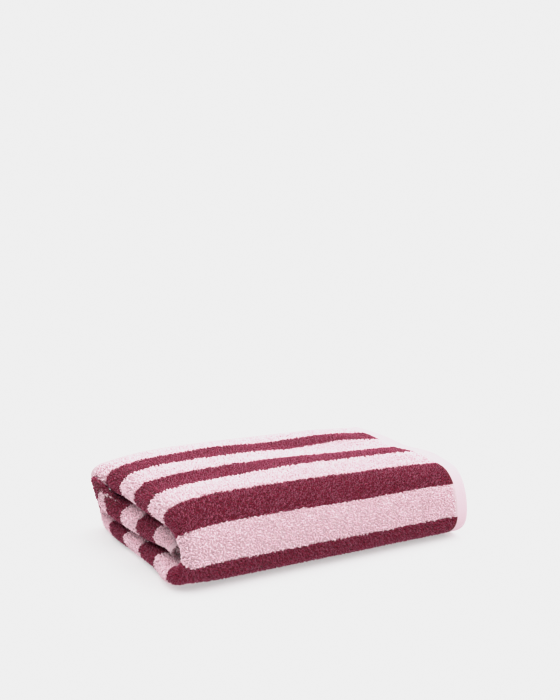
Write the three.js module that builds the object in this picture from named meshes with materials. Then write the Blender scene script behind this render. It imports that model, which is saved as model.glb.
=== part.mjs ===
// Folded striped bath towel in plush terry cloth.
// Millimetres, +Z up. The finished towel is centred on the origin and rests on z = 0.
// While it is worked out, x runs along the package from the rounded fold at 0 to
// the hems, and y runs from the front spine at 0 to the back.
//
// The towel is folded crosswise in half twice, which gives four layers that all
// end at the right, and then lengthwise in thirds. The top third turns down over
// the front spine, runs back underneath, turns up at the back and comes forward
// again inside, so the package is twelve layers high and is one piece of cloth.
import * as THREE from 'three';

const TOWEL_WIDTH = 685;
const STRIPES = 19;
const STRIPE = TOWEL_WIDTH / STRIPES;

// Across the layers: the rounded fold end, and how far the inner hem and the first
// fold stand back from the outer hem.
const SECOND_FOLD_X = 12.5;
const FOLD_END_STRETCH = 1.15;
const INNER_HEM_BACK = 4;
const FIRST_FOLD_BACK = 8;

// Hems at both short ends and the narrow woven edges along both long sides.
const HEM_THICKNESS = 3.2;
const EDGE_WIDTH = 6;
const EDGE_THICKNESS = 3.4;

// The outer face from its free edge at the top back, round to the inner free edge.
// run: cloth in stripe widths, face: length of the outer face in mm, which the turns
// crowd or stretch a little, turn: degrees, cuts: mesh rows in that run.
const WRAP = [
  { name: 'top third', run: 4, face: 150, turn: 0.9, cuts: 6 },
  { name: 'shoulder', run: 1, face: 36.1, turn: 9.7, cuts: 3 },
  { name: 'shoulder turn', run: 1, face: 36.1, turn: 45.1, cuts: 4 },
  { name: 'front spine', run: 1, face: 36, turn: 32, cuts: 4 },
  { name: 'lower front', run: 0.6, face: 21.6, turn: 59.7, cuts: 3 },
  { name: 'lower turn', run: 0.5, face: 18, turn: 32.6, cuts: 3 },
  { name: 'bottom third', run: 4.7, face: 183.2, turn: 0, cuts: 5 },
  { name: 'back fold', run: 1.49, face: 73.5, turn: 180, cuts: 10 },
  { name: 'inner third', run: 3.41, face: 124, turn: 0, cuts: 4 },
  { name: 'inner free edge', run: 1.3, face: 52, turn: 26, cuts: 3 },
];
const WRAP_START_Y = 213.9;
const FACE_SOFTNESS = 8;
const INSIDE_SOFTNESS = 24;

// How the four layers lie at places along the wrap, in stripe widths from the free edge.
// stack: height of the four layers, air: space between two layers,
// end: how far the rounded fold end stands in (+) or out (-),
// hem: where the outer hem ends, band: width of the hem.
const LAYERS = [
  { at: 0, stack: 29.6, air: 1.9, end: -2, hem: 344, band: 15 },
  { at: 1, stack: 30.2, air: 1.9, end: 2.2, hem: 344, band: 15 },
  { at: 2, stack: 30.6, air: 1.9, end: 3, hem: 340, band: 18 },
  { at: 3.3, stack: 31, air: 1.9, end: 2.4, hem: 335, band: 21 },
  { at: 4, stack: 30, air: 1.8, end: 0.5, hem: 334, band: 20 },
  { at: 5, stack: 29, air: 1.6, end: 1, hem: 333, band: 17.5 },
  { at: 6, stack: 26, air: 1.2, end: 2, hem: 328, band: 16 },
  { at: 6.8, stack: 23.6, air: 1, end: 2.5, hem: 324, band: 15 },
  { at: 7.6, stack: 20.4, air: 0.8, end: -4, hem: 322, band: 14 },
  { at: 8.2, stack: 18.8, air: 0.8, end: -8.5, hem: 321, band: 13 },
  { at: 9.2, stack: 18.7, air: 0.8, end: -3.5, hem: 322, band: 13 },
  { at: 12, stack: 18.6, air: 0.8, end: -3, hem: 322, band: 13 },
  { at: 13.1, stack: 19, air: 0.8, end: 2, hem: 322, band: 13 },
  { at: 13.65, stack: 19.2, air: 0.8, end: 3, hem: 322, band: 13 },
  { at: 14.2, stack: 21.4, air: 0.9, end: -5, hem: 322, band: 13 },
  { at: 15.2, stack: 26.4, air: 1.2, end: -2, hem: 322, band: 13 },
  { at: 16.8, stack: 27.6, air: 1.2, end: 0.5, hem: 322, band: 13 },
  { at: 17.4, stack: 27.6, air: 1.2, end: 2, hem: 322, band: 13 },
  { at: 18, stack: 25, air: 1.2, end: 1.5, hem: 322, band: 13 },
  { at: 18.6, stack: 19, air: 0.9, end: 1, hem: 322, band: 13 },
  { at: 19, stack: 16.8, air: 0.8, end: 1, hem: 322, band: 13 },
];

// Where the soft package sags (-) or swells (+), in mm at its top, with its reach.
const SAGS = [
  { name: 'fold end', x: -6, y: 110, reachX: 34, reachY: 400, lift: -6.5 },
  { name: 'hem end', x: 336, y: 110, reachX: 36, reachY: 400, lift: -3 },
  { name: 'crown', x: 170, y: 120, reachX: 120, reachY: 80, lift: 1.5 },
  { name: 'back left corner', x: 6, y: 212, reachX: 60, reachY: 50, lift: -4 },
  { name: 'trough before the hem', x: 270, y: 110, reachX: 90, reachY: 26, lift: -4 },
  { name: 'trough on the shoulder', x: 300, y: 30, reachX: 90, reachY: 14, lift: -2.3 },
  { name: 'trough at the fold end', x: 45, y: 80, reachX: 50, reachY: 26, lift: -2.4 },
  { name: 'dip in the middle', x: 195, y: 150, reachX: 28, reachY: 26, lift: -2.7 },
  { name: 'ripple in the middle', x: 165, y: 60, reachX: 50, reachY: 26, lift: 1.4 },
  { name: 'ripple before the hem', x: 270, y: 150, reachX: 28, reachY: 26, lift: 2 },
  { name: 'ripple at the back', x: 120, y: 180, reachX: 28, reachY: 14, lift: 1.3 },
  { name: 'slack of the spine', x: 195, y: 0, reachX: 50, reachY: 26, lift: -1.6 },
];
const PACKAGE_HEIGHT = 80;

// Places along a run between two folds, as parts of its length.
const RUN_CUTS = [0, 0.06, 0.15, 0.28, 0.44, 0.6, 0.75, 0.88, 1];
const OUTER_TURN_CUTS = 9;
const INNER_TURN_CUTS = 5;

const STEP = 0.5;

// Straight-line reading of a table column at a place.
function read(rows, column, place) {
  if (place <= rows[0].at) return rows[0][column];
  for (let i = 1; i < rows.length; i += 1) {
    const low = rows[i - 1];
    const high = rows[i];
    if (place <= high.at) {
      const part = (place - low.at) / (high.at - low.at);
      return low[column] + (high[column] - low[column]) * part;
    }
  }
  return rows[rows.length - 1][column];
}

// Mean of a table column over a reach to both sides, so that its corners are soft.
function readSoft(rows, column, place, reach) {
  const count = 16;
  let sum = 0;
  for (let i = 0; i <= count; i += 1) {
    sum += read(rows, column, place + reach * ((2 * i) / count - 1));
  }
  return sum / (count + 1);
}

// Heading of the outer face against its length, and that length against the cloth.
function wrapTables() {
  const headings = [{ at: 0, heading: 0 }];
  const lengths = [{ at: 0, face: 0 }];
  for (const { run, face, turn } of WRAP) {
    const last = headings[headings.length - 1];
    const cloth = lengths[lengths.length - 1];
    headings.push({ at: last.at + face, heading: last.heading + turn });
    lengths.push({ at: cloth.at + run, face: cloth.face + face });
  }
  return { headings, lengths };
}

// The outer face as y, z at every step, with its lowest line on z = 0.
function wrapLine(headings) {
  const headingAt = (i) => THREE.MathUtils.degToRad(
    readSoft(headings, 'heading', i * STEP, FACE_SOFTNESS),
  );
  const line = [{ y: WRAP_START_Y, z: 0 }];
  let before = headingAt(0);
  let lowest = 0;
  const samples = Math.ceil(headings[headings.length - 1].at / STEP) + 1;
  for (let i = 1; i <= samples; i += 1) {
    const here = headingAt(i);
    const last = line[i - 1];
    const y = last.y - ((Math.cos(before) + Math.cos(here)) * STEP) / 2;
    const z = last.z - ((Math.sin(before) + Math.sin(here)) * STEP) / 2;
    line.push({ y, z });
    lowest = Math.min(lowest, z);
    before = here;
  }
  return line.map(({ y, z }) => ({ y, z: z - lowest }));
}

// Everything that is needed at one place along the wrap.
function wrapStation(line, tables, along) {
  const place = along / STRIPE;
  const face = readSoft(tables.lengths, 'face', place, along > 0 && along < TOWEL_WIDTH ? 0.1 : 0);
  const index = Math.floor(face / STEP);
  const part = face / STEP - index;
  const a = line[index];
  const b = line[index + 1];
  const inward = THREE.MathUtils.degToRad(
    readSoft(tables.headings, 'heading', face, INSIDE_SOFTNESS),
  );
  const stack = readSoft(LAYERS, 'stack', place, 12 / STRIPE);
  const air = readSoft(LAYERS, 'air', place, 12 / STRIPE);
  const edge = Math.min(along, TOWEL_WIDTH - along);
  return {
    y: a.y + (b.y - a.y) * part,
    z: Math.max(0, a.z + (b.z - a.z) * part),
    inwardY: Math.sin(inward),
    inwardZ: -Math.cos(inward),
    stack,
    air,
    layer: (stack - 3 * air) / 4,
    foldX: SECOND_FOLD_X + readSoft(LAYERS, 'end', place, 14 / STRIPE),
    hemX: readSoft(LAYERS, 'hem', place, 14 / STRIPE),
    band: readSoft(LAYERS, 'band', place, 14 / STRIPE),
    edgePart: THREE.MathUtils.smoothstep(edge, EDGE_WIDTH - 2, EDGE_WIDTH),
  };
}

// Places along the wrap where the mesh has a row.
function wrapRows() {
  const places = [0, EDGE_WIDTH - 2, EDGE_WIDTH];
  let from = 0;
  WRAP.forEach(({ run, cuts }, index) => {
    const to = index === WRAP.length - 1 ? TOWEL_WIDTH : from + run * STRIPE;
    for (let i = 1; i <= cuts; i += 1) places.push(from + ((to - from) * i) / cuts);
    from = to;
  });
  places.splice(places.length - 1, 0, TOWEL_WIDTH - EDGE_WIDTH, TOWEL_WIDTH - EDGE_WIDTH + 2);
  return places;
}

// The cloth's way across the four layers, hem to hem. Each stop gives, for one
// wrap station, the middle of the cloth (x, depth), the way to its right side
// and how thick it is there. Depth runs from the outer face to the inner one.
function layerStops() {
  const stops = [];
  const hemParts = [
    ...RUN_CUTS.slice(0, -1).map((part) => ({ part, hem: 0 })),
    { bands: 1, more: 2, hem: 0 },
    { bands: 1, more: 0, hem: 1 },
    { bands: 0, more: 0, hem: 1 },
  ];
  const plainParts = RUN_CUTS.map((part) => ({ part, hem: 0 }));
  const runX = (s, back, piece) => {
    const end = s.hemX - back;
    if (piece.part !== undefined) return s.foldX + (end - s.foldX) * piece.part;
    return end - piece.bands * s.band - piece.more;
  };
  const addRun = (parts, back, depthOf, side) => {
    for (const piece of parts) {
      stops.push((s) => ({
        x: runX(s, back, piece), depth: depthOf(s), sideX: 0, sideDepth: side, hem: piece.hem,
      }));
    }
  };
  const addTurn = (cuts, centreOf, radiusOf, stretch, from, to, side) => {
    for (let i = 1; i < cuts; i += 1) {
      const angle = from + ((to - from) * i) / cuts;
      stops.push((s) => {
        const centre = centreOf(s);
        return {
          x: centre.x + stretch * radiusOf(s) * Math.cos(angle),
          depth: centre.depth + radiusOf(s) * Math.sin(angle),
          sideX: side * stretch * Math.cos(angle),
          sideDepth: side * Math.sin(angle),
          hem: 0,
        };
      });
    }
  };
  const pitch = (s) => s.layer + s.air;
  const outerDepth = (s) => s.layer / 2;
  const farDepth = (s) => s.stack - s.layer / 2;
  const middleOfStack = (s) => ({ x: s.foldX, depth: s.stack / 2 });
  const firstFoldCentre = (s) => ({
    x: s.hemX - FIRST_FOLD_BACK, depth: farDepth(s) - pitch(s) / 2,
  });
  const quarter = Math.PI / 2;

  addRun([...hemParts].reverse(), 0, outerDepth, -1);
  addTurn(
    OUTER_TURN_CUTS, middleOfStack, (s) => farDepth(s) - s.stack / 2,
    FOLD_END_STRETCH, -quarter, -3 * quarter, 1,
  );
  addRun(plainParts, FIRST_FOLD_BACK, farDepth, 1);
  addTurn(INNER_TURN_CUTS, firstFoldCentre, (s) => pitch(s) / 2, 1, quarter, -quarter, 1);
  addRun([...plainParts].reverse(), FIRST_FOLD_BACK, (s) => farDepth(s) - pitch(s), -1);
  addTurn(
    INNER_TURN_CUTS, middleOfStack, (s) => pitch(s) / 2,
    FOLD_END_STRETCH, quarter, 3 * quarter, -1,
  );
  addRun(hemParts, INNER_HEM_BACK, (s) => outerDepth(s) + pitch(s), 1);
  return stops;
}

// The package's sags and swells, none at the surface it rests on.
function settle(x, y, z) {
  let lift = 0;
  for (const sag of SAGS) {
    const dx = (x - sag.x) / sag.reachX;
    const dy = (y - sag.y) / sag.reachY;
    lift += sag.lift * Math.exp(-dx * dx - dy * dy);
  }
  const share = Math.max(0, z / PACKAGE_HEIGHT) ** 1.3;
  return new THREE.Vector3(x, y, z + share * lift);
}

// One point of the cloth: side is 0.5 on its right side and -0.5 on its back.
function clothPoint(stop, station, side) {
  const place = stop(station);
  const pile = station.layer * station.edgePart + EDGE_THICKNESS * (1 - station.edgePart);
  const thick = Math.min(station.layer, place.hem ? Math.min(HEM_THICKNESS, pile) : pile);
  const x = place.x + place.sideX * side * thick;
  const depth = place.depth + place.sideDepth * side * thick;
  return settle(x, station.y + depth * station.inwardY, station.z + depth * station.inwardZ);
}

function towelGeometry() {
  const tables = wrapTables();
  const line = wrapLine(tables.headings);
  const stations = wrapRows().map((along) => wrapStation(line, tables, along));
  const stops = layerStops();
  const positions = [];
  const index = [];
  const sides = [0.5, -0.5];
  for (const side of sides) {
    for (const stop of stops) {
      for (const station of stations) {
        positions.push(...clothPoint(stop, station, side).toArray());
      }
    }
  }
  const columns = stations.length;
  const rows = stops.length;
  const at = (side, row, column) => (side * rows + row) * columns + column;
  const quad = (a, b, c, d) => index.push(a, b, c, a, c, d);
  for (let r = 0; r < rows - 1; r += 1) {
    for (let c = 0; c < columns - 1; c += 1) {
      quad(at(0, r, c), at(0, r + 1, c), at(0, r + 1, c + 1), at(0, r, c + 1));
      quad(at(1, r, c), at(1, r, c + 1), at(1, r + 1, c + 1), at(1, r + 1, c));
    }
    quad(at(0, r + 1, 0), at(0, r, 0), at(1, r, 0), at(1, r + 1, 0));
    const e = columns - 1;
    quad(at(0, r, e), at(0, r + 1, e), at(1, r + 1, e), at(1, r, e));
  }
  for (let c = 0; c < columns - 1; c += 1) {
    const e = rows - 1;
    quad(at(0, 0, c), at(0, 0, c + 1), at(1, 0, c + 1), at(1, 0, c));
    quad(at(0, e, c + 1), at(0, e, c), at(1, e, c), at(1, e, c + 1));
  }
  const geometry = new THREE.BufferGeometry();
  geometry.setAttribute('position', new THREE.Float32BufferAttribute(positions, 3));
  geometry.setIndex(index);
  geometry.computeVertexNormals();
  return geometry;
}

const terry = new THREE.MeshStandardMaterial({
  name: 'terry cotton', color: 0xd7adb8, roughness: 0.95, metalness: 0,
});

const towel = new THREE.Mesh(towelGeometry(), terry);
towel.name = 'towel';
towel.geometry.computeBoundingBox();
const middle = towel.geometry.boundingBox.getCenter(new THREE.Vector3());
towel.position.set(-middle.x, -middle.y, 0);

const group = new THREE.Group();
group.add(towel);

export default group;
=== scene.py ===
"""Folded striped bath towel in plush terry cloth, dressed over its CAD solid.

The towel is cut flat from one grid, given its stripes as a UV map, and then folded
by the CAD solid's tables, with a little more reach at the front corner of the fold
end. Its looped pile is laid on as small yarn loops wherever the cloth shows.
"""
import math

import bmesh
import bpy
import numpy as np
from mathutils import Matrix, Vector


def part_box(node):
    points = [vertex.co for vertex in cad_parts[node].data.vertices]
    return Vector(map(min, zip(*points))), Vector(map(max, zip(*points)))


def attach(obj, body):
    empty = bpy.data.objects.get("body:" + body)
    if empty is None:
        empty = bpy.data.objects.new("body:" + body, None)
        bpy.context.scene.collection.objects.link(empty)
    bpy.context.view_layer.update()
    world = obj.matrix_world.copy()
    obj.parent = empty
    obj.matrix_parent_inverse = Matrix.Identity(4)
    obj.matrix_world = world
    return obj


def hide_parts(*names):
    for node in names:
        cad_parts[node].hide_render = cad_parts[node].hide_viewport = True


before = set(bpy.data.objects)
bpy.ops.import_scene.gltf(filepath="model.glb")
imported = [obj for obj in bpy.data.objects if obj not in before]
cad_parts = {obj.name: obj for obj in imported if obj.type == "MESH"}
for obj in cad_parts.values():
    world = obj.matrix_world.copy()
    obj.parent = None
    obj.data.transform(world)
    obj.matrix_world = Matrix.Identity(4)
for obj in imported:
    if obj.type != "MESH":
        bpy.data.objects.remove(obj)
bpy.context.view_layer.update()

MM = 0.001
towel_low, towel_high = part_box("towel")

# The flat towel, in millimetres.
TOWEL_WIDTH = 685
TOWEL_LENGTH = 1320
STRIPES = 19
STRIPE = TOWEL_WIDTH / STRIPES

# The rounded fold end, and how far the inner hem and the first fold stand back from
# the outer hem.
SECOND_FOLD_X = 12.5
FOLD_END_STRETCH = 1.15
INNER_HEM_BACK = 4
FIRST_FOLD_BACK = 8

# Hems, woven side edges and pile.
HEM_THICKNESS = 3.2
HEM_SOFTNESS = 2
EDGE_WIDTH = 6
EDGE_THICKNESS = 3.4
EDGE_SOFTNESS = 2
PILE_HEIGHT = 2.2

# The outer face from its free edge at the top back round to the inner free edge:
# name, cloth in stripes, length of the outer face in mm, turn in degrees.
WRAP = [
    ("top third", 4, 150, 0.9),
    ("shoulder", 1, 36.1, 9.7),
    ("shoulder turn", 1, 36.1, 45.1),
    ("front spine", 1, 36, 32),
    ("lower front", 0.6, 21.6, 59.7),
    ("lower turn", 0.5, 18, 32.6),
    ("bottom third", 4.7, 183.2, 0),
    ("back fold", 1.49, 73.5, 180),
    ("inner third", 3.41, 124, 0),
    ("inner free edge", 1.3, 52, 26),
]
WRAP_START_Y = 213.9

# How far the corners of the tables are softened: headings in mm of the outer face,
# cloth in stripes, and the layers in mm of cloth.
FACE_SOFTNESS = 8
INSIDE_SOFTNESS = 24
RUN_SOFTNESS = 0.1
STACK_SOFTNESS = 12
END_SOFTNESS = 14
SOFT_READINGS = 17

# The four layers along the wrap: place in stripes, height of the stack, space
# between two layers, how far the rounded fold end stands in (+) or out (-), where
# the outer hem ends, width of the hem.
LAYERS = np.array([
    (0, 29.6, 1.9, -2, 344, 15),
    (1, 30.2, 1.9, 2.2, 344, 15),
    (2, 30.6, 1.9, 3, 340, 18),
    (3.3, 31, 1.9, 2.4, 335, 21),
    (4, 30, 1.8, 0.5, 334, 20),
    (5, 29, 1.6, 1, 333, 17.5),
    (6, 26, 1.2, 2, 328, 16),
    (6.8, 23.6, 1, 2.5, 324, 15),
    (7.6, 20.4, 0.8, -8, 322, 14),
    (8.2, 18.8, 0.8, -12, 321, 13),
    (9.2, 18.7, 0.8, -3.5, 322, 13),
    (12, 18.6, 0.8, -3, 322, 13),
    (13.1, 19, 0.8, 2, 322, 13),
    (13.65, 19.2, 0.8, 3, 322, 13),
    (14.2, 21.4, 0.9, -5, 322, 13),
    (15.2, 26.4, 1.2, -2, 322, 13),
    (16.8, 27.6, 1.2, 0.5, 322, 13),
    (17.4, 27.6, 1.2, 2, 322, 13),
    (18, 25, 1.2, 1.5, 322, 13),
    (18.6, 19, 0.9, 1, 322, 13),
    (19, 16.8, 0.8, 1, 322, 13),
])
STACK, AIR, END, HEM, BAND = range(1, 6)
HEM_REACH = LAYERS[:, BAND].max() + 3

# The corner tuck: at the back of the fold end the cloth of the back fold is pushed up
# into the crevice under the top third, and hides the start of the inner third.
# It starts, is full, fades and ends at these places in stripes, and at these parts of
# the outer turn. It rises and reaches out in millimetres.
TUCK_PLACES = (13.5, 14.0, 14.45, 15.9)
TUCK_TURN = (-0.02, 0.22, 0.22, 0.56)
TUCK_RISE = 24
TUCK_REACH = 9

# The tuck shows the middle of a dark stripe, from this place and part of the turn on and
# up to its edge: place in stripes, part of the turn.
TUCK_SHOWS = 13.5
TUCK_SHOWS_FROM = 13.6
TUCK_SHOWS_BACK = -0.3
TUCK_EDGE = np.array([(13.5, 0.58), (14.0, 0.52), (15.8, 0.14)])

# The crease beside the tuck swallows most of a stripe: place in stripes, stripe shown.
CREASE = np.array([(0, 0), (12, 12), (13.55, 12.98), (13.65, 14.02), (15, 15), (19, 19)])
CREASE_TURN = (-0.7, 0, 0.95, 1.3)

# How far stripes lean at the fold end, in stripes: the bottom layers', and those at the
# front corner, with its place and part of the turn and the reach round both.
BOTTOM_LEAN = 0.2
BOTTOM_LEAN_PLACES = (8.3, 8.8, 12.3, 12.9)
BOTTOM_LEAN_TURN = (0.25, 0.6)
CORNER_LEAN = 0.04
CORNER_LEAN_PLACE, CORNER_LEAN_REACH = 7, 0.6
CORNER_LEAN_TURN, CORNER_LEAN_TURN_REACH = 0.05, 0.3

# Where the package sags (-) or swells (+): name, x, y, reach in x, reach in y, lift.
SAGS = [
    ("fold end", -6, 110, 34, 400, -6.5),
    ("hem end", 336, 110, 36, 400, -3),
    ("crown", 170, 120, 120, 80, 1.5),
    ("back left corner", 6, 212, 60, 50, -4),
    ("trough before the hem", 270, 110, 90, 26, -4),
    ("trough on the shoulder", 300, 30, 90, 14, -2.3),
    ("trough at the fold end", 45, 80, 50, 26, -2.4),
    ("dip in the middle", 195, 150, 28, 26, -2.7),
    ("ripple in the middle", 165, 60, 50, 26, 1.4),
    ("ripple before the hem", 270, 150, 28, 26, 2),
    ("ripple at the back", 120, 180, 28, 14, 1.3),
    ("slack of the spine", 195, 0, 50, 26, -1.6),
]

# A sag shows in full at the package's height, and by this power of the height below it.
PACKAGE_HEIGHT = 80
SETTLING = 1.3

# The front corner of the fold end curls up from the surface below, up to this height.
CORNER_CURL = ("front corner", 0, -6, 24, 26, 3.5)
CURL_HEIGHT = 30

# The outer face is followed in steps of this length.
STEP = 0.5

# The cloth's route across the layers, hem to hem, and the cloth in each stretch.
ROUTE = [
    ("outer hem run", 320),
    ("outer turn", 38),
    ("far run", 312),
    ("first fold", 12),
    ("near run", 312),
    ("inner turn", 12),
    ("inner hem run", 314),
]
ROUTE_ENDS = np.cumsum([0] + [length for _, length in ROUTE])
OUTER_TURN_START, OUTER_TURN_END, FIRST_FOLD_START, FIRST_FOLD_END = ROUTE_ENDS[1:5]
INNER_TURN_START, INNER_TURN_END = ROUTE_ENDS[5:7]

# Where loops are laid: past the outer turn's two ends and the first fold's, over a soft
# edge, and on the outer hem run up to the last places that show, in stripes.
PILE_BEFORE_TURN = 20
PILE_AFTER_TURN = 12
PILE_BESIDE_FOLD = 10
PILE_FADE = 4
PILE_PAST_HEM = (0.5, 2.5)
LAST_SHOWN = (14.3, 14.6)


def soft_reading(rows, column, place, reach):
    """Mean of a table column over a reach to both sides, so that its corners are soft."""
    place = np.asarray(place, float)
    steps = np.linspace(-reach, reach, SOFT_READINGS)
    values = np.interp(place[..., None] + steps, rows[:, 0], rows[:, column])
    return values.mean(axis=-1)


def wrap_tables():
    """Heading of the outer face against its length, and that length against the cloth."""
    runs = np.cumsum([0] + [row[1] for row in WRAP])
    faces = np.cumsum([0] + [row[2] for row in WRAP])
    headings = np.cumsum([0] + [row[3] for row in WRAP])
    return np.column_stack([faces, headings]), np.column_stack([runs, faces])


HEADINGS, FACES = wrap_tables()


def face_line():
    """The outer face as length, y and z at every step, with its lowest line on the floor."""
    along = np.arange(0, HEADINGS[-1, 0] + 2 * STEP, STEP)
    heading = np.radians(soft_reading(HEADINGS, 1, along, FACE_SOFTNESS))
    ahead = np.stack([np.cos(heading), np.sin(heading)])
    moves = (ahead[:, 1:] + ahead[:, :-1]) * STEP / 2
    y = WRAP_START_Y - np.concatenate([[0], np.cumsum(moves[0])])
    z = -np.concatenate([[0], np.cumsum(moves[1])])
    return along, y, z - z.min()


FACE_LENGTH, FACE_Y, FACE_Z = face_line()
# The frame's origin, seen from the places that the tables are written in.
ORIGIN = Vector((
    LAYERS[:, HEM].max() - towel_high[0] / MM,
    FACE_Y.min() - towel_low[1] / MM,
    -towel_low[2] / MM,
))


def smooth(value, low, high):
    """0 at low, 1 at high, and a soft step between them."""
    part = np.clip((np.asarray(value, float) - low) / (high - low), 0, 1)
    return part * part * (3 - 2 * part)


def plateau(value, start, full, fade, end):
    """0 up to start, 1 from full to fade, 0 from end on, and soft steps between them."""
    return smooth(value, start, full) * (1 - smooth(value, fade, end))


def across_layers(along, station):
    """Place, depth and the way to the cloth's right side, along the route."""
    pitch = station["layer"] + station["air"]
    stack, layer, fold = station["stack"], station["layer"], station["fold"]
    hem, first_fold = station["hem"], station["hem"] - FIRST_FOLD_BACK
    far = stack - layer / 2
    stretch = np.clip(np.searchsorted(ROUTE_ENDS, along, side="right") - 1, 0, len(ROUTE) - 1)
    part = (along - ROUTE_ENDS[stretch]) / (ROUTE_ENDS[stretch + 1] - ROUTE_ENDS[stretch])
    turn = np.pi * part
    none = np.zeros_like(part)

    def run(start, end, depth, side):
        return start + (end - start) * part, depth, none, side + none

    def bend(middle_x, middle_depth, radius, stretched, start, way, side):
        angle = start + way * turn
        reach = stretched * np.cos(angle)
        return (
            middle_x + radius * reach, middle_depth + radius * np.sin(angle),
            side * reach, side * np.sin(angle),
        )

    quarter = np.pi / 2
    ways = [
        run(hem, fold, layer / 2, -1),
        bend(fold, stack / 2, far - stack / 2, FOLD_END_STRETCH, -quarter, -1, 1),
        run(fold, first_fold, far, 1),
        bend(first_fold, far - pitch / 2, pitch / 2, 1, quarter, -1, 1),
        run(first_fold, fold, far - pitch, -1),
        bend(fold, stack / 2, pitch / 2, FOLD_END_STRETCH, quarter, 1, -1),
        run(fold, hem - INNER_HEM_BACK, layer / 2 + pitch, 1),
    ]
    return [
        np.choose(stretch, [np.broadcast_to(way[i], part.shape) for way in ways])
        for i in range(4)
    ]


def wrap_station(across):
    """Where the outer face and the layers lie at a place across the cloth."""
    place = across / STRIPE
    face = soft_reading(FACES, 1, place, RUN_SOFTNESS)
    inward = np.radians(soft_reading(HEADINGS, 1, face, INSIDE_SOFTNESS))
    stack = soft_reading(LAYERS, STACK, place, STACK_SOFTNESS / STRIPE)
    air = soft_reading(LAYERS, AIR, place, STACK_SOFTNESS / STRIPE)
    return {
        "y": np.interp(face, FACE_LENGTH, FACE_Y),
        "z": np.interp(face, FACE_LENGTH, FACE_Z),
        "inward_y": np.sin(inward),
        "inward_z": -np.cos(inward),
        "stack": stack,
        "air": air,
        "layer": (stack - 3 * air) / 4,
        "fold": SECOND_FOLD_X + soft_reading(LAYERS, END, place, END_SOFTNESS / STRIPE),
        "hem": soft_reading(LAYERS, HEM, place, END_SOFTNESS / STRIPE),
    }


def lift_at(x, y, sag):
    """The lift that a sag, swell or curl gives at a place."""
    _, sag_x, sag_y, reach_x, reach_y, height = sag
    return height * np.exp(-(((x - sag_x) / reach_x) ** 2) - ((y - sag_y) / reach_y) ** 2)


def settled(points):
    """The package's sags and swells, none at the surface it rests on, and the curled corner."""
    x, y, z = points[..., 0], points[..., 1], points[..., 2]
    lift = sum(lift_at(x, y, sag) for sag in SAGS)
    share = np.clip(z / PACKAGE_HEIGHT, 0, None) ** SETTLING
    low = np.clip(1 - z / CURL_HEIGHT, 0, 1)
    return np.stack([x, y, z + share * lift + low * lift_at(x, y, CORNER_CURL)], axis=-1)


def band_width(across):
    """Width of the hem at a place across the cloth."""
    return soft_reading(LAYERS, BAND, across / STRIPE, END_SOFTNESS / STRIPE)


def from_edge(across):
    """Distance from the nearest woven side edge."""
    return np.minimum(across, TOWEL_WIDTH - across)


def past_hem(across, along):
    """Distance from the nearest hem's inner line, negative on the hem."""
    return np.minimum(along, TOWEL_LENGTH - along) - band_width(across)


def folded(across, along, side, proud=0):
    """Points of the folded cloth in metres. side is 0.5 on its right side and -0.5 on
    its back, and proud is a further distance out from that side in millimetres."""
    across, along = np.asarray(across, float), np.asarray(along, float)
    station = wrap_station(across)
    x, depth, side_x, side_depth = across_layers(along, station)
    edge = smooth(from_edge(across), EDGE_WIDTH - EDGE_SOFTNESS, EDGE_WIDTH)
    thick = station["layer"] * edge + EDGE_THICKNESS * (1 - edge)
    hem = 1 - smooth(past_hem(across, along), 0, HEM_SOFTNESS)
    thick = thick * (1 - hem) + np.minimum(HEM_THICKNESS, thick) * hem
    out = side * thick + np.sign(side) * proud
    x = x + side_x * out
    depth = depth + side_depth * out
    tuck = tuck_height(across, along)
    x = x - TUCK_REACH * tuck
    points = np.stack([
        x,
        station["y"] + depth * station["inward_y"],
        station["z"] + depth * station["inward_z"] + TUCK_RISE * tuck,
    ], axis=-1)
    return (settled(points) - np.array(ORIGIN)) * MM


def turn_part(along):
    """How far round the outer turn a place along the cloth is: 0 at its start, 1 at its end."""
    return (along - OUTER_TURN_START) / (OUTER_TURN_END - OUTER_TURN_START)


def tuck_height(across, along):
    """Share of the corner tuck's full rise."""
    return plateau(across / STRIPE, *TUCK_PLACES) * plateau(turn_part(along), *TUCK_TURN)


def stripe_place(across, along):
    """The stripe that a place on the cloth shows, in stripes from the free edge. At the
    fold end the tuck takes up the end of one dark stripe and shows it higher up, and the
    stripes of the bottom layers and of the front corner lean."""
    place, part = across / STRIPE, turn_part(along)
    at_end = plateau(part, *CREASE_TURN)
    crease = np.interp(place, CREASE[:, 0], CREASE[:, 1])
    shown = place * (1 - at_end) + crease * at_end
    lean = plateau(place, *BOTTOM_LEAN_PLACES) * smooth(part, *BOTTOM_LEAN_TURN)
    from_corner = (place - CORNER_LEAN_PLACE) / CORNER_LEAN_REACH
    from_corner_turn = (part - CORNER_LEAN_TURN) / CORNER_LEAN_TURN_REACH
    corner = np.exp(-(from_corner**2) - from_corner_turn**2)
    shown = shown - BOTTOM_LEAN * lean - CORNER_LEAN * corner
    tuck_edge = np.interp(place, TUCK_EDGE[:, 0], TUCK_EDGE[:, 1])
    beside = (place > TUCK_SHOWS_FROM) & (place < TUCK_EDGE[-1, 0])
    tucked = beside & (part > TUCK_SHOWS_BACK) & (part < tuck_edge)
    return np.where(tucked, TUCK_SHOWS, shown)


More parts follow.
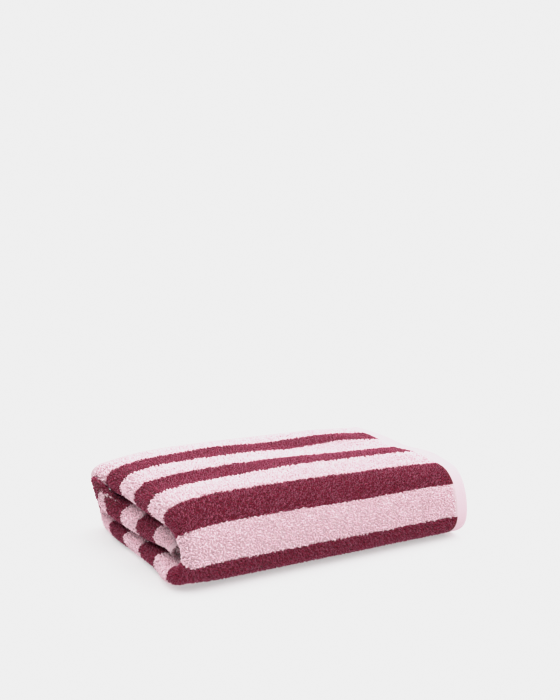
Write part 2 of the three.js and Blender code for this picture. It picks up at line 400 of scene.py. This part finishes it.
def pile_cover(across, along):
    """1 where loops are laid on the cloth's right side, 0 where the cloth is bare or hidden."""
    outer_hem = smooth(past_hem(across, along), *PILE_PAST_HEM)
    half_fade = EDGE_SOFTNESS / 2
    sides = smooth(from_edge(across), EDGE_WIDTH - half_fade, EDGE_WIDTH + half_fade)
    last, hidden = LAST_SHOWN
    shows = 1 - smooth(across, last * STRIPE, hidden * STRIPE)
    before_turn = 1 - smooth(along, OUTER_TURN_START, OUTER_TURN_START + PILE_FADE)
    end = plateau(
        along,
        OUTER_TURN_START - PILE_BEFORE_TURN - PILE_FADE, OUTER_TURN_START - PILE_BEFORE_TURN,
        OUTER_TURN_END + PILE_AFTER_TURN, OUTER_TURN_END + PILE_AFTER_TURN + PILE_FADE,
    )
    fold = plateau(
        along,
        FIRST_FOLD_START - PILE_BESIDE_FOLD - PILE_FADE, FIRST_FOLD_START - PILE_BESIDE_FOLD,
        FIRST_FOLD_END + PILE_BESIDE_FOLD, FIRST_FOLD_END + PILE_BESIDE_FOLD + PILE_FADE,
    )
    return np.maximum.reduce([before_turn * outer_hem * shows, end, fold]) * sides


def grid_lines(stops):
    """Places from a list of (start, spacing up to the next start)."""
    lines = []
    for (start, spacing), (end, _) in zip(stops, stops[1:]):
        count = max(1, round((end - start) / spacing))
        lines += [start + (end - start) * i / count for i in range(count)]
    return np.array(lines + [stops[-1][0]])


def cut_flat_towel():
    """The flat towel as a closed bmesh slab: x across, y along, z 0.5 on the right side."""
    across_lines = grid_lines([
        (0, 2), (EDGE_WIDTH, 5), (5 * STRIPE, 4), (8.3 * STRIPE, 6), (12.8 * STRIPE, 3),
        (16 * STRIPE, 5), (TOWEL_WIDTH - EDGE_WIDTH, 2), (TOWEL_WIDTH, 1),
    ])
    turn_pile = PILE_AFTER_TURN + PILE_FADE
    fold_pile = PILE_BESIDE_FOLD + PILE_FADE
    along_lines = grid_lines([
        (0, 2), (HEM_REACH, 6), (OUTER_TURN_START - 8, 2),
        (OUTER_TURN_START, 1.6), (OUTER_TURN_END, 2.5), (OUTER_TURN_END + turn_pile, 9),
        (FIRST_FOLD_START - fold_pile, 3), (FIRST_FOLD_START, 1.5),
        (FIRST_FOLD_END, 3), (FIRST_FOLD_END + fold_pile, 9),
        (INNER_TURN_START, 1.5), (INNER_TURN_END, 9),
        (TOWEL_LENGTH - HEM_REACH, 2), (TOWEL_LENGTH, 1),
    ])
    bm = bmesh.new()
    columns, rows = len(across_lines) - 1, len(along_lines) - 1
    bmesh.ops.create_grid(bm, x_segments=columns, y_segments=rows, size=0.5)
    for vert in bm.verts:
        column = round((vert.co.x + 0.5) * columns)
        row = round((vert.co.y + 0.5) * rows)
        vert.co = (across_lines[column], along_lines[row], -0.5)
    grown = bmesh.ops.extrude_face_region(bm, geom=bm.faces[:], use_keep_orig=True)
    for item in grown["geom"]:
        if isinstance(item, bmesh.types.BMVert):
            item.co.z = 0.5
    bmesh.ops.recalc_face_normals(bm, faces=bm.faces[:])
    return bm


def new_object(name, mesh, body="root"):
    """An object at the origin that rides on the part's body."""
    piece = bpy.data.objects.new(name, mesh)
    bpy.context.scene.collection.objects.link(piece)
    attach(piece, body)
    return piece


def make_towel(cloth_material):
    """The folded cloth itself."""
    bm = cut_flat_towel()
    flat = np.array([vert.co for vert in bm.verts])
    across, along, side = flat.T
    stripes, past = stripe_place(across, along), past_hem(across, along)
    bm.verts.index_update()
    cloth_map = bm.loops.layers.uv.new("cloth")
    for face in bm.faces:
        for corner in face.loops:
            index = corner.vert.index
            corner[cloth_map].uv = (stripes[index], past[index] / STRIPE)
        face.smooth = True
    inset = np.where(side > 0, -PILE_HEIGHT * pile_cover(across, along), 0)
    points = folded(across, along, side, inset)
    for vert, point in zip(bm.verts, points):
        vert.co = point
    mesh = bpy.data.meshes.new("towel_cloth")
    bm.to_mesh(mesh)
    bm.free()
    mesh.materials.append(cloth_material)
    towel = new_object("towel_cloth", mesh)
    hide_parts("towel")
    return towel


# One yarn loop: an arch of four three-sided rings, in millimetres.
LOOP_RINGS = 4
LOOP_SIDES = 3
LOOP_POINTS = LOOP_RINGS * LOOP_SIDES
LOOP_WIDTH = 2.0
LOOP_SINK = 0.7
YARN_RADIUS = 0.68

# How the loops differ: shares of their height, width and yarn, how far they lean as a
# share of the height, and how far they are from a regular grid.
HEIGHTS = (0.65, 1.2)
WIDTHS = (0.8, 1.15)
YARNS = (0.85, 1.15)
LEANS = (0.1, 1.0)
LOOP_LEAN = 0.4
LOOP_JITTER = 0.42
MISSING_LOOPS = 0.04
LOOP_COVER = 0.6

# Space between loops where they show and underneath, and the seed of their differences.
PITCH = 2.05
UNDERSIDE_PITCH = 3.6
SEED = 11

# The cloth's slope is measured over this distance to both sides.
SLOPE_REACH = 0.6


def loop_places(rng, regions):
    """Jittered places for loops, as across and along in millimetres."""
    places = []
    for across_from, across_to, along_from, along_to, pitch in regions:
        columns = round((across_to - across_from) / pitch)
        rows = round((along_to - along_from) / pitch)
        grid = np.stack(np.meshgrid(np.arange(columns), np.arange(rows)), axis=-1).reshape(-1, 2)
        grid = grid + 0.5 + rng.uniform(-LOOP_JITTER, LOOP_JITTER, grid.shape)
        grid[:, 0] = across_from + grid[:, 0] * (across_to - across_from) / columns
        grid[:, 1] = along_from + grid[:, 1] * (along_to - along_from) / rows
        places.append(grid)
    return np.concatenate(places)


def cloth_ways(across, along):
    """Unit vectors at places on the right side: across the cloth, along it and outwards."""
    out = folded(across, along, 0.5, 1) - folded(across, along, 0.5, 0)
    reach = SLOPE_REACH
    way_across = folded(across + reach, along, 0.5) - folded(across - reach, along, 0.5)
    way_along = folded(across, along + reach, 0.5) - folded(across, along - reach, 0.5)
    normal = np.cross(way_across, way_along)
    normal *= np.sign((normal * out).sum(axis=1))[:, None]
    normal /= np.linalg.norm(normal, axis=1)[:, None]
    way_across /= np.linalg.norm(way_across, axis=1)[:, None]
    return way_across, np.cross(normal, way_across), normal


def loop_points(rng, across, along, height):
    """Points of loops at these places, ring by ring, each turned and leaning its own way."""
    count = len(across)
    foot = folded(across, along, 0.5, -PILE_HEIGHT)
    way_across, way_along, normal = cloth_ways(across, along)
    yaw = rng.uniform(0, 2 * np.pi, count)[:, None]
    ahead = way_across * np.cos(yaw) + way_along * np.sin(yaw)
    beside = np.cross(normal, ahead)
    tall = height * rng.uniform(*HEIGHTS, count)
    wide = LOOP_WIDTH * rng.uniform(*WIDTHS, count) / 2
    yarn = YARN_RADIUS * rng.uniform(*YARNS, count)
    lean_way = rng.uniform(0, 2 * np.pi, count)
    lean = rng.uniform(*LEANS, count) * height * LOOP_LEAN

    points = np.empty((count, LOOP_POINTS, 3))
    for ring, angle in enumerate(np.pi * np.linspace(0, 1, LOOP_RINGS)):
        along_arch, risen = -np.cos(angle) * wide, np.sin(angle)
        up = risen * (tall - yarn + LOOP_SINK) - LOOP_SINK
        lean_part = risen**2 * lean
        middle = (
            foot
            + ahead * (along_arch * MM)[:, None]
            + normal * (up * MM)[:, None]
            + ahead * (np.cos(lean_way) * lean_part * MM)[:, None]
            + beside * (np.sin(lean_way) * lean_part * MM)[:, None]
        )
        arch_out = ahead * -np.cos(angle) + normal * np.sin(angle)
        for k in range(LOOP_SIDES):
            spoke = 2 * np.pi * k / LOOP_SIDES
            offset = arch_out * np.cos(spoke) + beside * np.sin(spoke)
            points[:, ring * LOOP_SIDES + k] = middle + offset * (yarn * MM)[:, None]
    return points


def loop_faces():
    """One loop's faces: four-sided ones round its arch, and its two ends."""
    sides = []
    for ring in range(LOOP_RINGS - 1):
        for k in range(LOOP_SIDES):
            a = ring * LOOP_SIDES + k
            b = ring * LOOP_SIDES + (k + 1) % LOOP_SIDES
            sides.append((a, b, b + LOOP_SIDES, a + LOOP_SIDES))
    last = (LOOP_RINGS - 1) * LOOP_SIDES
    return np.array(sides), np.array([(2, 1, 0), (last, last + 1, last + 2)])


def loops_mesh(name, points):
    """All loops as one mesh, and the loop that each face corner belongs to."""
    count = len(points)
    sides, ends = loop_faces()
    first = (np.arange(count) * LOOP_POINTS)[:, None, None]
    corners = np.concatenate([(sides[None] + first).reshape(-1), (ends[None] + first).reshape(-1)])
    side_corners = count * sides.size
    starts = np.concatenate([
        np.arange(count * len(sides)) * sides.shape[1],
        side_corners + np.arange(count * len(ends)) * ends.shape[1],
    ])
    mesh = bpy.data.meshes.new(name)
    mesh.vertices.add(count * LOOP_POINTS)
    mesh.vertices.foreach_set("co", points.reshape(-1))
    mesh.loops.add(len(corners))
    mesh.loops.foreach_set("vertex_index", corners.astype(np.int32))
    mesh.polygons.add(len(starts))
    mesh.polygons.foreach_set("loop_start", starts.astype(np.int32))
    mesh.polygons.foreach_set("use_smooth", np.ones(len(starts), bool))
    return mesh, corners // LOOP_POINTS


def make_pile(name, rng, regions, height, material):
    """Yarn loops standing on the cloth's right side, with its stripes and their own tones."""
    across, along = loop_places(rng, regions).T
    there = rng.uniform(0, 1, len(across)) > MISSING_LOOPS
    keep = (pile_cover(across, along) > LOOP_COVER) & there
    across, along = across[keep], along[keep]
    mesh, owner = loops_mesh(name, loop_points(rng, across, along, height))
    cloth_map = mesh.uv_layers.new(name="cloth")
    uv = np.stack([stripe_place(across, along), past_hem(across, along) / STRIPE], axis=-1)[owner]
    cloth_map.data.foreach_set("uv", uv.astype(np.float32).reshape(-1))
    tone = mesh.attributes.new("tone", "FLOAT", "POINT")
    tones = np.repeat(rng.uniform(-1, 1, len(across)), LOOP_POINTS)
    tone.data.foreach_set("value", tones.astype(np.float32))
    mesh.update(calc_edges=True)
    mesh.validate()
    mesh.materials.append(material)
    return new_object(name, mesh)


def node(tree, kind, **settings):
    """A shader node with its settings and unlinked inputs."""
    made = tree.nodes.new(kind)
    for key, value in settings.items():
        if hasattr(made, key):
            setattr(made, key, value)
        else:
            made.inputs[key].default_value = value
    return made


def math_node(tree, operation, first, second):
    """A Math node on two sockets or numbers."""
    made = tree.nodes.new("ShaderNodeMath")
    made.operation = operation
    for socket, value in zip(made.inputs, (first, second)):
        if isinstance(value, (int, float)):
            socket.default_value = value
        else:
            tree.links.new(value, socket)
    return made.outputs[0]


def step_node(tree, socket, low, high, first, last):
    """A soft step from first to last while the socket goes from low to high."""
    step = node(tree, "ShaderNodeMapRange", interpolation_type="SMOOTHSTEP")
    tree.links.new(socket, step.inputs["Value"])
    step.inputs["From Min"].default_value = low
    step.inputs["From Max"].default_value = high
    step.inputs["To Min"].default_value = first
    step.inputs["To Max"].default_value = last
    return step.outputs["Result"]


# Colours of the yarn, of its fuzz and of the flat hems, and the painted shade of the ground
# between the loops.
PALE_YARN = (0.94, 0.655, 0.725, 1)
DARK_YARN = (0.165, 0.005, 0.022, 1)
PALE_FUZZ = (0.15, 0.09, 0.10, 1)
DARK_FUZZ = (1, 0.36, 0.54, 1)
HEM_YARN = (0.68, 0.45, 0.51, 1)
PALE_GAP_SHADE = (0.60, 0.42, 0.46, 1)
DARK_GAP_SHADE = (0.10, 0.005, 0.014, 1)

# How much loops differ in tone, how far the ground's stripes wander and how finely, and
# how far the ground's painted shade goes onto the hem as a thin darker line, in stripes.
YARN_CONTRAST = 0.16
WANDER = 0.05
WANDER_SCALE = 18.0
GROUND_ON_HEM = 0.04

# Surface of the cloth: soft and without shine, with a fine grain on the ground.
GROUND_ROUGHNESS, GROUND_SHEEN = 0.92, 0.15
LOOP_ROUGHNESS, LOOP_SHEEN = 0.9, 0.95
SHEEN_ROUGHNESS = 0.5
SHINE = 0.1
GRAIN_SCALE = 900.0
GRAIN_STRENGTH = 0.5
GRAIN_DEPTH = 0.0006

# The Mix node's two colour inputs and its colour output.
FIRST_COLOUR, SECOND_COLOUR, MIXED_COLOUR = 6, 7, 2


def dark_share(tree, wander):
    """Two sockets by the cloth map: 1 on dark stripes, and 1 off the hems."""
    cloth_map = node(tree, "ShaderNodeUVMap", uv_map="cloth")
    split = tree.nodes.new("ShaderNodeSeparateXYZ")
    tree.links.new(cloth_map.outputs["UV"], split.inputs[0])
    across = split.outputs["X"]
    if wander:
        noise = node(tree, "ShaderNodeTexNoise", Scale=WANDER_SCALE, Detail=2.0)
        tree.links.new(cloth_map.outputs["UV"], noise.inputs["Vector"])
        shift = math_node(tree, "MULTIPLY_ADD", noise.outputs["Fac"], wander)
        shift.node.inputs[2].default_value = -wander / 2
        across = math_node(tree, "ADD", across, shift)
    around = math_node(tree, "MODULO", across, 2.0)
    dark = math_node(tree, "GREATER_THAN", around, 1.0)
    pile = math_node(tree, "GREATER_THAN", split.outputs["Y"], -GROUND_ON_HEM)
    return math_node(tree, "MULTIPLY", dark, pile), pile


def mixed_colour(tree, factor, first, second):
    """One of two colours, or a mix of them, by a factor. Each is a colour or a socket."""
    mix = node(tree, "ShaderNodeMix", data_type="RGBA")
    tree.links.new(factor, mix.inputs["Factor"])
    for index, colour in ((FIRST_COLOUR, first), (SECOND_COLOUR, second)):
        if isinstance(colour, tuple):
            mix.inputs[index].default_value = colour
        else:
            tree.links.new(colour, mix.inputs[index])
    return mix.outputs[MIXED_COLOUR]


def new_material(name, roughness, sheen):
    """A cloth material with its constants set on the shader."""
    material = bpy.data.materials.new(name)
    material.use_nodes = True
    tree = material.node_tree
    shader = tree.nodes["Principled BSDF"]
    shader.inputs["Roughness"].default_value = roughness
    shader.inputs["Specular IOR Level"].default_value = SHINE
    shader.inputs["Sheen Weight"].default_value = sheen
    shader.inputs["Sheen Roughness"].default_value = SHEEN_ROUGHNESS
    return material, tree, shader


def cloth_ground():
    """The woven ground, with painted shade between the loops, and the flat hems and side edges."""
    material, tree, shader = new_material("terry_ground", GROUND_ROUGHNESS, GROUND_SHEEN)
    dark, pile = dark_share(tree, WANDER)
    bare = mixed_colour(tree, dark, HEM_YARN, DARK_YARN)
    # Painted shade: the ground between the loops is coloured darker, as if in the loops' shade.
    gap_shade = mixed_colour(tree, dark, PALE_GAP_SHADE, DARK_GAP_SHADE)
    tree.links.new(mixed_colour(tree, pile, bare, gap_shade), shader.inputs["Base Color"])
    place = tree.nodes.new("ShaderNodeTexCoord")
    grain = node(tree, "ShaderNodeTexNoise", Scale=GRAIN_SCALE, Detail=2.0)
    tree.links.new(place.outputs["Object"], grain.inputs["Vector"])
    bump = node(tree, "ShaderNodeBump", Strength=GRAIN_STRENGTH, Distance=GRAIN_DEPTH)
    tree.links.new(grain.outputs["Fac"], bump.inputs["Height"])
    tree.links.new(bump.outputs["Normal"], shader.inputs["Normal"])
    return material


def looped_yarn():
    """The cotton loops, each a little lighter or darker than the next."""
    material, tree, shader = new_material("terry_loops", LOOP_ROUGHNESS, LOOP_SHEEN)
    dark, _ = dark_share(tree, 0)
    colour = mixed_colour(tree, dark, PALE_YARN, DARK_YARN)
    tree.links.new(mixed_colour(tree, dark, PALE_FUZZ, DARK_FUZZ), shader.inputs["Sheen Tint"])
    tone = node(tree, "ShaderNodeAttribute", attribute_name="tone")
    value = math_node(tree, "MULTIPLY_ADD", tone.outputs["Fac"], YARN_CONTRAST)
    value.node.inputs[2].default_value = 1.0
    shade = node(tree, "ShaderNodeHueSaturation")
    tree.links.new(colour, shade.inputs["Color"])
    tree.links.new(value, shade.inputs["Value"])
    tree.links.new(shade.outputs["Color"], shader.inputs["Base Color"])
    return material


def dress_towel():
    """The cloth and its pile, region by region: across from and to, along from and to, pitch."""
    rng = np.random.default_rng(SEED)
    ground, loops = cloth_ground(), looped_yarn()
    towel = make_towel(ground)
    hem, turn = LAYERS[:, BAND].min(), OUTER_TURN_START
    turn_pile = PILE_AFTER_TURN + PILE_FADE / 2
    fold_pile = PILE_BESIDE_FOLD + PILE_FADE / 2
    piles = {
        "pile_top_back": [(EDGE_WIDTH, 2.2 * STRIPE, hem, turn, PITCH)],
        "pile_top_front": [(2.2 * STRIPE, 4.6 * STRIPE, hem, turn, PITCH)],
        "pile_shoulder": [(4.6 * STRIPE, 6.4 * STRIPE, hem, turn, PITCH)],
        "pile_spine": [(6.4 * STRIPE, 8.4 * STRIPE, hem, turn, PITCH)],
        "pile_underside": [(8.4 * STRIPE, 12.7 * STRIPE, hem, turn, UNDERSIDE_PITCH)],
        "pile_back": [(12.7 * STRIPE, 14.7 * STRIPE, hem, turn, PITCH)],
        "pile_fold_end": [
            (14.7 * STRIPE, TOWEL_WIDTH, turn - PILE_BEFORE_TURN, turn, PITCH),
            (0, TOWEL_WIDTH, turn, OUTER_TURN_END + turn_pile, PITCH),
        ],
        "pile_first_fold": [
            (0, TOWEL_WIDTH, FIRST_FOLD_START - fold_pile, FIRST_FOLD_END + fold_pile, PITCH),
        ],
    }
    pieces = [make_pile(name, rng, regions, PILE_HEIGHT, loops) for name, regions in piles.items()]


# The camera, where the photo's perspective puts it, in the tables' millimetres.
CAMERA_PLACE = (-323.7, -691.8, 294.2)
CAMERA_AROUND = 31.5
CAMERA_DOWN = 6.1
CAMERA_ROLL = 0.27
CAMERA_LENS = 46.3


def place_camera():
    """The camera, turned round, tilted down and rolled as the photo's was."""
    around, down = math.radians(CAMERA_AROUND), math.radians(CAMERA_DOWN)
    ahead = Vector((
        math.sin(around) * math.cos(down), math.cos(around) * math.cos(down), -math.sin(down),
    ))
    right = Vector((math.cos(around), -math.sin(around), 0))
    up = right.cross(ahead)
    roll = math.radians(CAMERA_ROLL)
    tilted_right = right * math.cos(roll) + up * math.sin(roll)
    tilted_up = up * math.cos(roll) - right * math.sin(roll)
    data = bpy.data.cameras.new("camera")
    data.lens = CAMERA_LENS
    camera = bpy.data.objects.new("camera", data)
    turn = Matrix((tilted_right, tilted_up, -ahead)).transposed().to_4x4()
    camera.matrix_world = Matrix.Translation((Vector(CAMERA_PLACE) - ORIGIN) * MM) @ turn
    bpy.context.scene.collection.objects.link(camera)
    bpy.context.scene.camera = camera


# The floor, and the light from in front, from the backdrop behind, from overhead and from
# the sun. The share is what is left of the light from the far left.
FLOOR_COLOUR = (0.52, 0.515, 0.52, 1)
FLOOR_GLOW = 0.42
FRONT_LIGHT = 1.5
BACKDROP_LIGHT = 1.8
OVERHEAD_LIGHT = 2.5
LEFT_SHARE = 0.04
SUN_LIGHT = 1.1
SUN_WAY = (-0.8, 0.0, -1)
SUN_SPREAD = 50
FLOOR_REACH = 60

# Directions between which the world's light changes: y, x and z of the way it comes from.
FRONT_TO_BACKDROP = (0.1, 0.55)
LEFT_TO_RIGHT = (-0.6, 0.2)
LOW_TO_OVERHEAD = (0.3, 0.85)


def lay_floor():
    """A wide pale floor that lies under the towel and is part of the stage."""
    bm = bmesh.new()
    bmesh.ops.create_grid(bm, x_segments=1, y_segments=1, size=FLOOR_REACH)
    mesh = bpy.data.meshes.new("floor")
    bm.to_mesh(mesh)
    bm.free()
    material = bpy.data.materials.new("pale_floor")
    material.use_nodes = True
    shader = material.node_tree.nodes["Principled BSDF"]
    shader.inputs["Base Color"].default_value = FLOOR_COLOUR
    shader.inputs["Emission Color"].default_value = (1, 1, 1, 1)
    shader.inputs["Emission Strength"].default_value = FLOOR_GLOW
    shader.inputs["Roughness"].default_value = 1
    shader.inputs["Specular IOR Level"].default_value = 0
    mesh.materials.append(material)
    floor = bpy.data.objects.new("floor", mesh)
    floor.location.z = towel_low[2]
    bpy.context.scene.collection.objects.link(floor)


def world_light():
    """Soft light from all round, brightest overhead and dimmest from the left."""
    world = bpy.data.worlds.new("studio")
    world.use_nodes = True
    tree = world.node_tree
    direction = tree.nodes.new("ShaderNodeTexCoord")
    split = tree.nodes.new("ShaderNodeSeparateXYZ")
    tree.links.new(direction.outputs["Generated"], split.inputs[0])
    behind = step_node(tree, split.outputs["Y"], *FRONT_TO_BACKDROP, FRONT_LIGHT, BACKDROP_LIGHT)
    left = step_node(tree, split.outputs["X"], *LEFT_TO_RIGHT, LEFT_SHARE, 1)
    behind = math_node(tree, "MULTIPLY", behind, left)
    overhead = step_node(tree, split.outputs["Z"], *LOW_TO_OVERHEAD, 0, 1)
    lift = math_node(tree, "SUBTRACT", OVERHEAD_LIGHT, behind)
    lift = math_node(tree, "MULTIPLY", lift, overhead)
    strength = math_node(tree, "ADD", behind, lift)
    tree.links.new(strength, tree.nodes["Background"].inputs["Strength"])
    tree.nodes["Background"].inputs["Color"].default_value = (1, 1, 1, 1)
    return world


# The tone curve: scene light against what the picture shows, flat where it is white.
TONES = [(0, 0), (0.3, 0.3), (0.55, 0.54), (0.7, 0.66), (0.9, 0.77), (1.1, 0.83), (1.4, 0.861)]
TONE_SPAN = 2


def set_tones(scene):
    """Highlights roll off to the pale white of the backdrop."""
    scene.view_settings.view_transform = "Standard"
    scene.view_settings.use_curve_mapping = True
    mapping = scene.view_settings.curve_mapping
    mapping.white_level = (TONE_SPAN, TONE_SPAN, TONE_SPAN)
    mapping.extend = "HORIZONTAL"
    curve = mapping.curves[3]
    for light, shown in TONES[1:-1]:
        curve.points.new(light / TONE_SPAN, shown)
    curve.points[0].location = TONES[0]
    curve.points[-1].location = (TONES[-1][0] / TONE_SPAN, TONES[-1][1])
    mapping.update()


def light_studio():
    """The tones, the world's light and one very soft sun."""
    scene = bpy.context.scene
    set_tones(scene)
    scene.world = world_light()
    sun = bpy.data.lights.new("soft_light", "SUN")
    sun.energy = SUN_LIGHT
    sun.angle = math.radians(SUN_SPREAD)
    lamp = bpy.data.objects.new("soft_light", sun)
    lamp.rotation_euler = Vector(SUN_WAY).to_track_quat("-Z", "Y").to_euler()
    scene.collection.objects.link(lamp)


place_camera()
lay_floor()
light_studio()
dress_towel()
